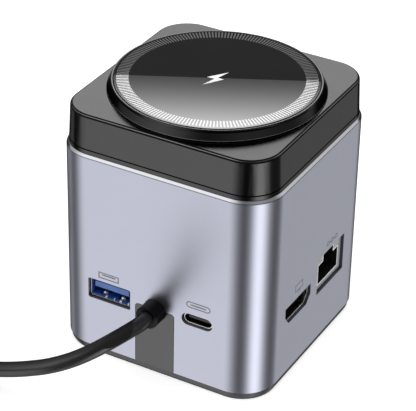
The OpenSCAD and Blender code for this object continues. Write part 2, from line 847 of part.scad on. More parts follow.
module plug_tip() {
    size = [8.34, 2.56];
    color([0.78, 0.78, 0.80]) translate(plug_at + [0, plug_relief_l + plug_l + tip_l, 0])
        rotate([90, 0, 0]) difference() {
            linear_extrude(tip_l) stadium(size);
            translate([0, 0, 1.2]) linear_extrude(tip_l) stadium(shrunk(size, 0.32));
        }
}

housing_sleeve();
base_cover();
foot_pad();
base_screws();
ballast_plate();
ballast_screws();
chassis();
top_cap();
cap_screws();
puck_base();
puck_bezel();
glass_plate();
puck_adhesive();
charging_coil();
ferrite_shield();
magnet_ring();
coil_leads();
wireless_board();
wireless_chips();
wireless_capacitors();
wireless_screws();
main_board();
hub_chip();
display_chip();
network_chip();
power_chip();
network_transformer();
crystals();
capacitors();
inductors();
thermal_pads();
heat_sink();
harness_wires();
harness_plugs();
usb_a_shell();
usb_a_insert();
usb_a_contacts();
usb_c_shell();
usb_c_insert();
usb_c_contacts();
display_shell();
display_insert();
display_contacts();
network_shield();
network_housing();
network_contacts();
strain_relief();
lead_clamp();
clamp_screws();
lead_end();
lead_cores();
cord_tube();
cord_coil();
cord_tail();
cord_tie();
plug_relief();
plug_body();
plug_tip();
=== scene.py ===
import json
import math

import bmesh
import bpy
from mathutils import Matrix, Vector


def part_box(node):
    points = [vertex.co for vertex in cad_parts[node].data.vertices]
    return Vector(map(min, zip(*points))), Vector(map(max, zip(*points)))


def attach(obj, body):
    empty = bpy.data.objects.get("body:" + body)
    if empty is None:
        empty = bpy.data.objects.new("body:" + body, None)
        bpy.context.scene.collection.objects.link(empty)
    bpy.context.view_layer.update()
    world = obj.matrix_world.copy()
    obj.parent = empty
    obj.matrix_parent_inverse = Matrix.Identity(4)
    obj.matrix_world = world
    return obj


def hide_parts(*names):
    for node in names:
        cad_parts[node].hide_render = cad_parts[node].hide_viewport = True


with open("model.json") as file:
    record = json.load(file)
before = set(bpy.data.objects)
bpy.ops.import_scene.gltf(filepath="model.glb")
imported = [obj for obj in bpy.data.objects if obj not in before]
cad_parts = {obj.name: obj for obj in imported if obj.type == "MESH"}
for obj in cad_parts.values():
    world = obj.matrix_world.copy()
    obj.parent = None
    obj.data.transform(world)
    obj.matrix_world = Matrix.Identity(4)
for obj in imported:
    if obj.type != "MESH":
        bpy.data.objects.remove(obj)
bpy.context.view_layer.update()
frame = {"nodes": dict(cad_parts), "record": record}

MM = 0.001

# ---------- places taken from the CAD frame ----------

SLEEVE_LOW, SLEEVE_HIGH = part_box("housing_sleeve")
GLASS_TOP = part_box("glass_plate")[1].z
FACE_X = SLEEVE_HIGH.x
FACE_Y = SLEEVE_LOW.y


def mm(*values):
    return Vector(values) * MM


# ---------- camera ----------

def add_camera():
    """Looks at the front corner from above, at the photograph's angle."""
    azimuth = math.radians(28.62)
    elevation = math.radians(31.70)
    roll = math.radians(1.287)
    target = mm(0, 0, 36.56)
    distance = 542.9 * MM
    side_shift = 1.747 * MM
    up_shift = -0.860 * MM
    back = Vector((
        math.sin(azimuth) * math.cos(elevation),
        -math.cos(azimuth) * math.cos(elevation),
        math.sin(elevation),
    ))
    level = Vector((math.cos(azimuth), math.sin(azimuth), 0))
    upward = back.cross(level)
    right = math.cos(roll) * level + math.sin(roll) * upward
    up = -math.sin(roll) * level + math.cos(roll) * upward
    camera = bpy.data.objects.new("camera", bpy.data.cameras.new("camera"))
    camera.data.sensor_width = 36
    camera.data.lens = 167
    camera.data.clip_start = 10 * MM
    camera.data.clip_end = 20
    turn = Matrix((right, up, back)).transposed()
    place = target + back * distance - right * side_shift - up * up_shift
    camera.matrix_world = Matrix.Translation(place) @ turn.to_4x4()
    bpy.context.scene.collection.objects.link(camera)
    bpy.context.scene.camera = camera


# ---------- mesh helpers ----------

SHARP_ANGLE = math.radians(35)  # faces that meet more steeply than this show an edge
BREAK_ANGLE = math.radians(20)  # edges steeper than this are rounded
FLAT_ANGLE = math.radians(0.6)  # faces that meet more flatly than this are merged
DOUBLE_VERTS = 1e-6


def new_piece(name, bm, slot, *replaced, look=None):
    """Makes a smooth-shaded piece that rides on the one body.

    Its material is the slot's, or another one named as its look.
    """
    mesh = bpy.data.meshes.new(name)
    bmesh.ops.recalc_face_normals(bm, faces=bm.faces)
    bm.to_mesh(mesh)
    bm.free()
    for face in mesh.polygons:
        face.use_smooth = True
    mesh.set_sharp_from_angle(angle=SHARP_ANGLE)
    piece = bpy.data.objects.new(name, mesh)
    bpy.context.scene.collection.objects.link(piece)
    mesh.materials.append(MATERIALS[look or slot])
    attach(piece, "root")
    if replaced:
        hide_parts(*replaced)
    return piece


def break_edges(bm, width, segments, chosen):
    """Rounds the sharp edges whose middle passes the test."""
    sharp = [
        edge for edge in bm.edges
        if len(edge.link_faces) == 2 and edge.calc_face_angle(0) > BREAK_ANGLE
        and chosen((edge.verts[0].co + edge.verts[1].co) / 2)
    ]
    bmesh.ops.bevel(
        bm, geom=sharp, offset=width, offset_type="OFFSET", segments=segments, profile=0.5,
        affect="EDGES", clamp_overlap=True)


def refined(node, slot, width, *bands):
    """A CAD piece's own shape with its sharp edges broken, which stands for that piece.

    Each band is (low, high, width): the rounding of the edges between those heights.
    """
    bm = bmesh.new()
    bm.from_mesh(frame["nodes"][node].data)
    bmesh.ops.remove_doubles(bm, verts=bm.verts, dist=DOUBLE_VERTS)
    bmesh.ops.dissolve_limit(bm, angle_limit=FLAT_ANGLE, verts=bm.verts, edges=bm.edges)
    for low, high, band_width in bands:
        break_edges(bm, band_width * MM, 3, lambda middle: low * MM < middle.z < high * MM)
    break_edges(bm, width * MM, 2, lambda middle: not any(
        low * MM < middle.z < high * MM for low, high, band_width in bands))
    piece = new_piece(node + "_finished", bm, slot, node)
    flat_faces = piece.modifiers.new("flat_faces", "WEIGHTED_NORMAL")
    flat_faces.keep_sharp = True
    return piece


def paint_faces(piece, material, chosen):
    """Gives a second material to the faces whose centre and normal pass the test."""
    piece.data.materials.append(material)
    for face in piece.data.polygons:
        if chosen(face.center, face.normal):
            face.material_index = len(piece.data.materials) - 1


# ---------- lead ----------

LEAD_D = 4.3 * MM
LEAD_SIDES = 20
SPAN_STEPS = 4  # points of the smooth line in each span of the route
ROUTE = [
    (0, -37.35, 21.3), (0, -40, 21.3), (-1, -43.5, 21), (-3.5, -49, 19.9),
    (-7, -53.5, 17.9), (-11.5, -57, 15.5), (-17, -59.6, 13.1), (-22.5, -60.7, 10.9),
    (-28, -61.2, 8.8), (-34, -61.2, 6.6), (-40, -61.2, 4.6), (-46, -61.2, 3.1),
    (-52, -61.2, 2.4), (-58, -61.2, 2.2), (-64, -61.2, 2.3), (-70, -61.2, 2.6),
]
TAIL = [
    (-108.1, -29, 6.4), (-108, -22.5, 5.4), (-108, -19, 4.6), (-108, -15, 3.8),
    (-108, -10, 3.3), (-108, -5, 3.3),
]


def eased(value, start, end):
    """0 before start, 1 after end, and a smooth step between them."""
    t = min(max((value - start) / (end - start), 0), 1)
    return t * t * (3 - 2 * t)


def coil_points():
    """Turns wound clockwise: outer and inner on the floor, then inner and outer on top.

    The winding is followed by the angle turned so far, in degrees.
    """
    centre = (-84, -37)
    outer, inner = 24.2, 19.8
    floor_z, upper_z = 2.77, 7.1
    wound = 1170
    step = 15
    move_in, climb, move_out = (240, 310), (530, 600), (800, 870)
    points = []
    for turned in range(0, wound + 1, step):
        r = outer + (inner - outer) * (eased(turned, *move_in) - eased(turned, *move_out))
        z = floor_z + (upper_z - floor_z) * eased(turned, *climb)
        angle = math.radians(-90 - turned)
        points.append((centre[0] + r * math.cos(angle), centre[1] + r * math.sin(angle), z))
    return points


def smooth_line(points, per_span):
    """Points on one smooth curve through the given ones (centripetal Catmull-Rom)."""
    p = [Vector(q) for q in points]
    p = [2 * p[0] - p[1]] + p + [2 * p[-1] - p[-2]]
    line = []
    for i in range(1, len(p) - 2):
        a, b, c, d = p[i - 1:i + 3]
        t0 = 0
        t1 = t0 + math.sqrt((b - a).length)
        t2 = t1 + math.sqrt((c - b).length)
        t3 = t2 + math.sqrt((d - c).length)
        for k in range(per_span):
            t = t1 + (t2 - t1) * k / per_span
            a1 = (t1 - t) / (t1 - t0) * a + (t - t0) / (t1 - t0) * b
            a2 = (t2 - t) / (t2 - t1) * b + (t - t1) / (t2 - t1) * c
            a3 = (t3 - t) / (t3 - t2) * c + (t - t2) / (t3 - t2) * d
            b1 = (t2 - t) / (t2 - t0) * a1 + (t - t0) / (t2 - t0) * a2
            b2 = (t3 - t) / (t3 - t1) * a2 + (t - t1) / (t3 - t1) * a3
            line.append((t2 - t) / (t2 - t1) * b1 + (t - t1) / (t2 - t1) * b2)
    line.append(p[-2])
    return line


def swept_tube(bm, line, radius, sides):
    """Round closed tube along a line, without twist."""
    rings = []
    side = None
    for i, point in enumerate(line):
        ahead = line[min(i + 1, len(line) - 1)] - line[max(i - 1, 0)]
        ahead.normalize()
        if side is None:
            side = ahead.cross(Vector((0, 0, 1)))
        side = (side - ahead * side.dot(ahead)).normalized()
        lift = side.cross(ahead)
        ring = []
        for k in range(sides):
            angle = 2 * math.pi * k / sides
            offset = math.cos(angle) * side + math.sin(angle) * lift
            ring.append(bm.verts.new(point + radius * offset))
        rings.append(ring)
    for low, high in zip(rings, rings[1:]):
        for k in range(sides):
            n = (k + 1) % sides
            bm.faces.new((low[k], low[n], high[n], high[k]))
    bm.faces.new(rings[0])
    bm.faces.new(reversed(rings[-1]))


def add_lead():
    """The whole lead as one tube; add_reflected_rod() stands in for it in reflections."""
    line = [q * MM for q in smooth_line(ROUTE + coil_points() + TAIL, SPAN_STEPS)]
    bm = bmesh.new()
    swept_tube(bm, line, LEAD_D / 2, LEAD_SIDES)
    lead = new_piece("lead", bm, "cord_jacket", "cord_tube", "cord_coil", "cord_tail")
    lead.visible_glossy = False


# ---------- materials ----------

class Recipe:
    """A material with one Principled shader, and short calls that add procedural nodes to it."""

    def __init__(self, name, roughness, metallic=0.0, **inputs):
        self.material = bpy.data.materials.new(name)
        self.material.use_nodes = True
        self.tree = self.material.node_tree
        self.shader = self.tree.nodes["Principled BSDF"]
        self.place = self.node("ShaderNodeTexCoord").outputs["Object"]
        self.set(self.shader, Roughness=roughness, Metallic=metallic, **inputs)
        self.roughness = roughness

    def node(self, kind, **values):
        made = self.tree.nodes.new(kind)
        for key, value in values.items():
            setattr(made, key, value)
        return made

    def set(self, node, **values):
        for key, value in values.items():
            node.inputs[key.replace("_", " ")].default_value = value

    def link(self, output, target):
        self.tree.links.new(output, target)

    def noise(self, size, detail=2.0, stretch=(1, 1, 1)):
        """Noise whose blotches are about size metres across."""
        place = self.place
        if stretch != (1, 1, 1):
            mapping = self.node("ShaderNodeMapping")
            mapping.inputs["Scale"].default_value = stretch
            self.link(place, mapping.inputs["Vector"])
            place = mapping.outputs["Vector"]
        texture = self.node("ShaderNodeTexNoise")
        self.set(texture, Scale=1 / size, Detail=detail)
        self.link(place, texture.inputs["Vector"])
        return texture.outputs["Fac"]

    def between(self, factor, low, high):
        """A value that runs from low to high as the factor runs over its middle range."""
        mapped = self.node("ShaderNodeMapRange")
        self.link(factor, mapped.inputs["Value"])
        for key, value in (("From Min", 0.3), ("From Max", 0.7), ("To Min", low), ("To Max", high)):
            mapped.inputs[key].default_value = value
        return mapped.outputs["Result"]

    def colours(self, factor, low, high):
        """Base colour that blends two colours by the factor."""
        mix = self.node("ShaderNodeMix", data_type="RGBA")
        self.link(self.between(factor, 0, 1), mix.inputs["Factor"])
        mix.inputs[6].default_value = (*low, 1)
        mix.inputs[7].default_value = (*high, 1)
        self.link(mix.outputs[2], self.shader.inputs["Base Color"])

    def uneven_gloss(self, factor, spread):
        self.link(
            self.between(factor, self.roughness - spread, self.roughness + spread),
            self.shader.inputs["Roughness"])

    def bump(self, factor, depth):
        bump = self.node("ShaderNodeBump")
        self.set(bump, Strength=1.0, Distance=depth)
        self.link(factor, bump.inputs["Height"])
        self.link(bump.outputs["Normal"], self.shader.inputs["Normal"])


def shade(colour, factor):
    return tuple(min(channel * factor, 1) for channel in colour)


def grained(
        name, colour, roughness, metallic=0.0, grain=0.25, depth=0.004, mottle=0.06, gloss_spread=0.03,
        **inputs):
    """Moulded, blasted or cast surface: fine grain, slight clouds of colour and uneven gloss."""
    recipe = Recipe(name, roughness, metallic, **inputs)
    recipe.colours(recipe.noise(6 * MM, 3), shade(colour, 1 - mottle), shade(colour, 1 + mottle))
    recipe.uneven_gloss(recipe.noise(2.5 * MM, 4), gloss_spread)
    recipe.bump(recipe.noise(grain * MM, 2), depth * MM)
    return recipe.material


def drawn_metal(name, colour, roughness, stretch):
    """Rolled or turned metal with fine lines along one way."""
    recipe = Recipe(name, roughness, 1.0)
    lines = recipe.noise(0.2 * MM, 3, stretch)
    recipe.colours(lines, shade(colour, 0.86), shade(colour, 1.06))
    recipe.uneven_gloss(lines, 0.05)
    recipe.bump(lines, 0.003 * MM)
    return recipe.material


def circuit_board(name, colour):
    """Solder mask over tracks, with a slight relief."""
    recipe = Recipe(name, 0.35)
    cells = recipe.node("ShaderNodeTexVoronoi", feature="DISTANCE_TO_EDGE", distance="MANHATTAN")
    recipe.set(cells, Scale=420.0)
    recipe.link(recipe.place, cells.inputs["Vector"])
    tracks = recipe.node("ShaderNodeMapRange")
    recipe.link(cells.outputs["Distance"], tracks.inputs["Value"])
    tracks.inputs["From Min"].default_value = 0.04
    tracks.inputs["From Max"].default_value = 0.09
    tracks.inputs["To Min"].default_value = 1
    tracks.inputs["To Max"].default_value = 0
    recipe.colours(tracks.outputs["Result"], colour, shade(colour, 1.8))
    recipe.bump(tracks.outputs["Result"], 0.03 * MM)
    return recipe.material


def woven_strap(name, colour):
    """Plain weave of two crossing sets of yarns."""
    recipe = Recipe(name, 0.85, 0.0, Sheen_Weight=0.4)
    weave = None
    for direction in ("X", "Y"):
        wave = recipe.node("ShaderNodeTexWave", bands_direction=direction)
        recipe.set(wave, Scale=900.0, Distortion=1.5)
        recipe.link(recipe.place, wave.inputs["Vector"])
        if weave is None:
            weave = wave.outputs["Fac"]
        else:
            product = recipe.node("ShaderNodeMath", operation="MULTIPLY")
            recipe.link(weave, product.inputs[0])
            recipe.link(wave.outputs["Fac"], product.inputs[1])
            weave = product.outputs[0]
    recipe.colours(weave, shade(colour, 0.5), shade(colour, 1.6))
    recipe.bump(weave, 0.12 * MM)
    return recipe.material


def black_glass(name):
    """Back-printed cover glass with faint wiping marks."""
    recipe = Recipe(name, 0.0, 0.0, IOR=1.5)
    recipe.colours(recipe.noise(20 * MM, 2), (0.006, 0.006, 0.0065), (0.008, 0.008, 0.0085))
    recipe.uneven_gloss(recipe.noise(9 * MM, 5, (1, 3, 1)), 0.004)
    return recipe.material


def make_materials():
    made = {
        "sleeve_aluminium": grained(
            "sleeve_aluminium", (0.600, 0.616, 0.722), 0.35, 1.0, grain=0.1, depth=0.0003, mottle=0.006,
            gloss_spread=0.004),
        "cut_aluminium": drawn_metal("cut_aluminium", (0.84, 0.85, 0.89), 0.16, (1, 1, 6)),
        # Painted shade: a darker copy of the aluminium for the fine line under the sleeve's bevel
        "bevel_painted_shade": grained("bevel_painted_shade", (0.26, 0.27, 0.31), 0.35, 1.0, grain=0.1, depth=0.0003),
        "base_plastic": grained(
            "base_plastic", (0.128, 0.128, 0.131), 0.30, 1.0, grain=0.15, depth=0.0004, mottle=0.015,
            gloss_spread=0.006),
        "cap_plastic": grained(
            "cap_plastic", (0.081, 0.081, 0.0825), 0.17, 1.0, grain=0.12, depth=0.0003, mottle=0.015,
            gloss_spread=0.006, Specular_Tint=(0.55, 0.55, 0.55, 1)),
        # Painted highlight: a lighter copy of the cap's finish on its chamfer
        "cap_chamfer_painted_highlight": grained("cap_chamfer_painted_highlight", (0.22, 0.22, 0.22), 0.2, 1.0, grain=0.12, depth=0.0003),
        "cap_top": grained(
            "cap_top", (0.080, 0.080, 0.0815), 0.23, 1.0, grain=0.12, depth=0.0003, mottle=0.015,
            gloss_spread=0.006, Specular_Tint=(0.55, 0.55, 0.55, 1)),
        # Near black: painted shade by the cap's chamfer and on the rod seen in reflections, and the dark
        # joints of the panel and the cap's groove
        "painted_shade_and_joint_black": grained(
            "painted_shade_and_joint_black", (0.003, 0.003, 0.003), 0.4, grain=0.2, depth=0.001, Specular_IOR_Level=0.12),
        # Painted highlight: light grey for the fine line round the disc's lower rim
        "lower_rim_painted_highlight": grained("lower_rim_painted_highlight", (0.22, 0.22, 0.22), 0.5, grain=0.2, depth=0.001),
        # Painted shade: dark walls inside the sleeve's openings, darker on the side face than on the face
        # with the lead
        "cut_wall_painted_shade": grained("cut_wall_painted_shade", (0.09, 0.092, 0.10), 0.35, 0.15, grain=0.1, depth=0.0005),
        "side_wall_painted_shade": grained("side_wall_painted_shade", (0.055, 0.057, 0.065), 0.35, 0.15, grain=0.1, depth=0.0005),
        # Painted shade: a darker copy of the base's finish for its rounded lower edge
        "base_edge_painted_shade": grained("base_edge_painted_shade", (0.045, 0.045, 0.046), 0.3, 1.0, grain=0.15, depth=0.0004),
        # Painted highlight: white for the edges round the socket openings and the ends of the USB-A contact
        # fingers
        "socket_edge_painted_highlight": grained("socket_edge_painted_highlight", (0.95, 0.95, 0.94), 0.3, 0.3, grain=0.1, depth=0.0005),
        # Painted light: a light grey, hardly metallic stand-in for the network shield's metal on its front
        # faces
        "flange_painted_light": grained("flange_painted_light", (0.42, 0.43, 0.46), 0.35, 0.15, grain=0.1, depth=0.0005),
        # Bright metal: the USB-A springs, and the display socket's front faces painted as lit
        "bright_rim": drawn_metal("bright_rim", (0.96, 0.96, 0.95), 0.3, (1, 1, 6)),
        "pad_rubber": grained("pad_rubber", (0.05, 0.05, 0.05), 0.8, grain=0.4, depth=0.02),
        "puck_plastic": grained(
            "puck_plastic", (0.050, 0.050, 0.051), 0.14, 1.0, grain=0.15, depth=0.0002, mottle=0.02,
            gloss_spread=0.01, Specular_Tint=(0.5, 0.5, 0.5, 1)),
        "bezel_plastic": grained(
            "bezel_plastic", (0.050, 0.050, 0.051), 0.12, 1.0, grain=0.15, depth=0.0002, mottle=0.02,
            gloss_spread=0.01, Specular_Tint=(0.5, 0.5, 0.5, 1)),
        # Painted highlight: a lighter copy of the bezel's finish on its top ring
        "bezel_edge_painted_highlight": grained("bezel_edge_painted_highlight", (0.085, 0.085, 0.085), 0.3, 1.0, grain=0.15, depth=0.0005),
        "dial_print": grained(
            "dial_print", (0.34, 0.34, 0.34), 0.03, 0.6, grain=4, depth=0.0, mottle=0.02, gloss_spread=0.01),
        "puck_glass": black_glass("puck_glass"),
        "steel": drawn_metal("steel", (0.55, 0.55, 0.57), 0.32, (1, 8, 1)),
        "heat_sink_aluminium": drawn_metal("heat_sink_aluminium", (0.72, 0.72, 0.74), 0.35, (1, 1, 6)),
        "socket_metal": drawn_metal("socket_metal", (0.75, 0.75, 0.77), 0.2, (1, 1, 6)),
        "socket_blue": grained("socket_blue", (0.020, 0.090, 0.40), 0.35, grain=0.2, depth=0.004),
        # Painted light: lighter copies of the inserts' colours on the tongues' visible faces
        "tongue_blue_painted_light": grained("tongue_blue_painted_light", (0.115, 0.225, 0.60), 0.4, grain=0.2, depth=0.002),
        "tongue_grey_painted_light": grained("tongue_grey_painted_light", (0.06, 0.06, 0.06), 0.35, grain=0.2, depth=0.002),
        "socket_black": grained("socket_black", (0.010, 0.010, 0.011), 0.4, grain=0.2, depth=0.004),
        "contact_gold": drawn_metal("contact_gold", (0.85, 0.62, 0.22), 0.2, (6, 1, 1)),
        "board_green": circuit_board("board_green", (0.010, 0.085, 0.040)),
        "chip_black": grained("chip_black", (0.018, 0.018, 0.020), 0.45, grain=0.1, depth=0.006),
        "capacitor_tan": grained("capacitor_tan", (0.45, 0.30, 0.14), 0.4, grain=0.3, depth=0.01),
        "pad_blue": grained("pad_blue", (0.22, 0.35, 0.55), 0.7, grain=0.4, depth=0.02),
        "copper": drawn_metal("copper", (0.72, 0.30, 0.12), 0.3, (1, 1, 6)),
        "ferrite": grained("ferrite", (0.03, 0.028, 0.028), 0.6, grain=0.3, depth=0.01),
        "magnet": drawn_metal("magnet", (0.66, 0.66, 0.68), 0.22, (4, 4, 1)),
        "adhesive": grained("adhesive", (0.62, 0.62, 0.56), 0.7, grain=0.5, depth=0.02),
        "nylon_white": grained("nylon_white", (0.80, 0.80, 0.78), 0.45, grain=0.2, depth=0.004),
        "wire_red": grained("wire_red", (0.40, 0.02, 0.015), 0.4, grain=0.3, depth=0.004),
        "cord_jacket": grained(
            "cord_jacket", (0.085, 0.085, 0.087), 0.30, 0.78, grain=0.35, depth=0.0006, mottle=0.03,
            gloss_spread=0.02, Specular_Tint=(0.5, 0.5, 0.5, 1)),
        "plug_plastic": grained(
            "plug_plastic", (0.004, 0.004, 0.0042), 0.28, grain=0.2, depth=0.002, Specular_IOR_Level=0.15),
        "tie_fabric": woven_strap("tie_fabric", (0.03, 0.03, 0.03)),
        "bolt_white": grained("bolt_white", (0.95, 0.95, 0.95), 0.4, grain=0.1, depth=0.0005),
        "mark_grey": grained("mark_grey", (0.20, 0.205, 0.23), 0.5, grain=0.1, depth=0.001),
    }
    return made


def dress_cad_nodes():
    """Every CAD piece that stays gets its slot's material."""
    for entry in frame["record"]["subparts"]:
        node = frame["nodes"][entry["node"]]
        node.data.materials.clear()
        node.data.materials.append(MATERIALS[entry["material_slot"]])


# ---------- housing ----------

def add_sleeve():
    """Satin aluminium with a bright cut bevel and a fine line of painted shade under it; the walls in the
    openings are painted dark as shade.
    """
    sleeve = refined("housing_sleeve", "sleeve_aluminium", 0.08, (60, 70, 0.12))
    bevel_low = SLEEVE_HIGH.z - 0.9 * MM
    window_low = SLEEVE_LOW.z + 0.2 * MM
    window_high = 40 * MM
    front_window_high = 30 * MM
    window_half = 20.5 * MM
    skin, wall = 0.01 * MM, 1.15 * MM
    paint_faces(sleeve, MATERIALS["cut_aluminium"], lambda centre, normal: (
        centre.z > bevel_low and 0.5 < normal.z < 0.9))
    # Painted shade: the rounded faces just under the bevel in darker aluminium
    paint_faces(sleeve, MATERIALS["bevel_painted_shade"], lambda centre, normal: (
        abs(centre.z - bevel_low) < 0.4 * MM and 0.04 < normal.z <= 0.5))
    # Painted shade: the walls of the openings are painted dark as the shade inside them
    paint_faces(sleeve, MATERIALS["cut_wall_painted_shade"], lambda centre, normal: (
        skin < centre.y - FACE_Y < wall and abs(centre.x) < window_half
        and abs(normal.y) < 0.3 and window_low < centre.z < front_window_high))
    paint_faces(sleeve, MATERIALS["side_wall_painted_shade"], lambda centre, normal: (
        skin < FACE_X - centre.x < wall and abs(centre.y) < window_half
        and abs(normal.x) < 0.3 and window_low < centre.z < window_high))


def add_base():
    """Dark base whose rounded lower edge is painted darker as shade."""
    edge_top = 1.3
    base = refined("base_cover", "base_plastic", 0.12, (0, 1.2, 0.16))
    # Painted shade: the downward faces of the lower edge in the darker copy
    paint_faces(base, MATERIALS["base_edge_painted_shade"], lambda centre, normal: (
        centre.z < edge_top * MM and -0.97 < normal.z < -0.55))


def add_cap():
    """Satin cap: a groove under the side wall painted near black, and two fine lines of painted shade by the
    chamfer with a painted highlight on the chamfer between them.
    """
    cap = refined("top_cap", "cap_plastic", 0.06, (74, 80, 0.36))
    groove_low, groove_high = 64.8 * MM, 65.2 * MM
    shoulder, deck = 74.2 * MM, 75 * MM
    flat_half, corner_r = 29 * MM, 35 * MM

    def outside(centre):
        return max(abs(centre.x), abs(centre.y)) > flat_half or centre.xy.length > corner_r

    # Near black in the groove, and painted shade in two fine lines either side of the chamfer
    paint_faces(cap, MATERIALS["painted_shade_and_joint_black"], lambda centre, normal: outside(centre) and (
        groove_low < centre.z < groove_high
        or centre.z > shoulder and (0.1 < normal.z < 0.62 or 0.74 < normal.z < 0.995)))
    # Painted highlight: the chamfer in the lighter copy of the cap's finish
    paint_faces(cap, MATERIALS["cap_chamfer_painted_highlight"], lambda centre, normal: (
        outside(centre) and centre.z > shoulder and 0.62 < normal.z < 0.74))
    paint_faces(cap, MATERIALS["cap_top"], lambda centre, normal: (
        centre.z > deck and normal.z > 0.995))
    return cap


def add_puck():
    """Black disc with a fine painted highlight at its lower rim and another round the glass."""
    rim_r, rim_top = 29.8 * MM, 75.75 * MM
    body = refined("puck_base", "puck_plastic", 0.05, (75.36, 75.5, 0.12))
    # Painted highlight: the rounded faces at the disc's lower rim in light grey
    paint_faces(body, MATERIALS["lower_rim_painted_highlight"], lambda centre, normal: (
        centre.xy.length > rim_r and centre.z < rim_top and -0.8 < normal.z < 0.4))
    bezel = refined("puck_bezel", "bezel_plastic", 0.05)
    # Painted highlight: the bezel's upward faces round the glass in the lighter copy
    paint_faces(bezel, MATERIALS["bezel_edge_painted_highlight"], lambda centre, normal: normal.z > 0.9)
    glass = refined("glass_plate", "puck_glass", 0.05)
    return bezel, glass


# ---------- thin plates of ink or metal on a face ----------

PRINT_T = 0.01 * MM  # thickness of the ink


def on_glass(u, v, h):
    """A point of the glass's top, with u along +X, v along +Y and h upwards."""
    return Vector((u * MM, v * MM, GLASS_TOP + h))


def on_lead_face(u, v, h):
    """A point of the face with the lead, with u along +X, v upwards and h outwards."""
    return Vector((u * MM, FACE_Y - h, v * MM))


def on_side_face(u, v, h):
    """A point of the face with the network socket, with u along +Y, v upwards and h outwards."""
    return Vector((FACE_X + h, u * MM, v * MM))


def printed_shape(bm, corners, place):
    """Thin closed plate of ink with these corners."""
    low = [bm.verts.new(place(u, v, 0)) for u, v in corners]
    high = [bm.verts.new(place(u, v, PRINT_T)) for u, v in corners]
    bm.faces.new(reversed(low))
    bm.faces.new(high)
    for i in range(len(corners)):
        n = (i + 1) % len(corners)
        bm.faces.new((low[i], low[n], high[n], high[i]))


def printed_bar(bm, start, end, width, place):
    """Straight line of ink."""
    along = Vector(end) - Vector(start)
    across = Vector((-along.y, along.x)).normalized() * width / 2
    a, b = Vector(start), Vector(end)
    printed_shape(bm, [a - across, b - across, b + across, a + across], place)


def printed_loop(bm, corners, width, place):
    """Closed line of ink through the corners, mitred where it turns."""
    sharpest = 0.3  # limit on the mitre of a sharp corner
    count = len(corners)
    points = [Vector(c) for c in corners]
    inner, outer = [], []
    for i, point in enumerate(points):
        before = (point - points[i - 1]).normalized()
        after = (points[(i + 1) % count] - point).normalized()
        turn = (before + after).normalized()
        normal = Vector((-turn.y, turn.x))
        reach = width / 2 / max(normal.dot(Vector((-after.y, after.x))), sharpest)
        inner.append(point + normal * reach)
        outer.append(point - normal * reach)
    for i in range(count):
        n = (i + 1) % count
        printed_shape(bm, [outer[i], outer[n], inner[n], inner[i]], place)


def pill(u, v, half_length, radius):
    """Corners of an outline with round ends, whose straight sides are twice half_length long."""
    end_points = 9
    corners = []
    for centre, first in ((u + half_length, -90), (u - half_length, 90)):
        for k in range(end_points):
            angle = math.radians(first + 180 * k / (end_points - 1))
            corners.append((centre + radius * math.cos(angle), v + radius * math.sin(angle)))
    return corners


# ---------- sockets ----------

# Centres on the two faces and the depth of the sockets' fronts, in millimetres as in the CAD source
USB_A_X, USB_A_Z = -14.55, 21.7
USB_C_X, USB_C_Z = 13.2, 22.1
NETWORK_Y, NETWORK_Z = 9.5, 23.55
DISPLAY_Y, DISPLAY_Z = -10.4, 21.3
SOCKET_INSET = 0.9


def box_between(bm, low, high):
    """Box with these opposite corners, in millimetres."""
    made = bmesh.ops.create_cube(bm, size=1)["verts"]
    for vert in made:
        vert.co = mm(*[
            (low[i] + high[i]) / 2 + vert.co[i] * (high[i] - low[i]) for i in range(3)])


def on_socket_in_lead_face(u, v, h):
    """The same as on_lead_face, at the depth of the sockets' fronts."""
    return on_lead_face(u, v, h - SOCKET_INSET * MM)


def on_socket_in_side_face(u, v, h):
    """The same as on_side_face, at the depth of the sockets' fronts."""
    return on_side_face(u, v, h - SOCKET_INSET * MM)


def refine_shells():
    """The sockets' metal shells; the front faces of those of the side face are painted as lit: a brighter
    metal on the display socket, a light grey on the network socket.
    """
    for name in ("usb_a_shell", "usb_c_shell"):
        refined(name, "socket_metal", 0.05)
    front = FACE_X - (SOCKET_INSET + 0.1) * MM
    for name, look in (("display_shell", "bright_rim"), ("network_shield", "flange_painted_light")):
        shell = refined(name, "socket_metal", 0.05)
        # Front faces painted as lit, in a lighter look than the shell's metal
        paint_faces(shell, MATERIALS[look], lambda centre, normal: (
            centre.x > front and normal.x > 0.9))


def refine_inserts():
    """The moulded blocks and tongues; the tongues' visible faces are painted lighter than the rest of each
    insert, as light falling on them.
    """
    usb_a_tongue_front, usb_c_tongue_front = -30 * MM, -29 * MM
    springs_top = (USB_A_Z - 1.5) * MM
    for name in ("display_insert", "network_housing"):
        refined(name, "socket_black", 0.06)
    insert = refined("usb_a_insert", "socket_blue", 0.14)
    # Painted light: the USB-A tongue's front faces in a lighter blue
    paint_faces(insert, MATERIALS["tongue_blue_painted_light"], lambda centre, normal: (
        centre.y < usb_a_tongue_front and normal.y < -0.9))
    insert = refined("usb_c_insert", "socket_black", 0.08)
    # Painted light: the USB-C tongue's front and top faces in a lighter grey
    paint_faces(insert, MATERIALS["tongue_grey_painted_light"], lambda centre, normal: (
        centre.y < usb_c_tongue_front and (normal.y < -0.9 or normal.z > 0.9)))
    contacts = refined("usb_a_contacts", "contact_gold", 0.02)
    paint_faces(contacts, MATERIALS["bright_rim"], lambda centre, normal: centre.z < springs_top)


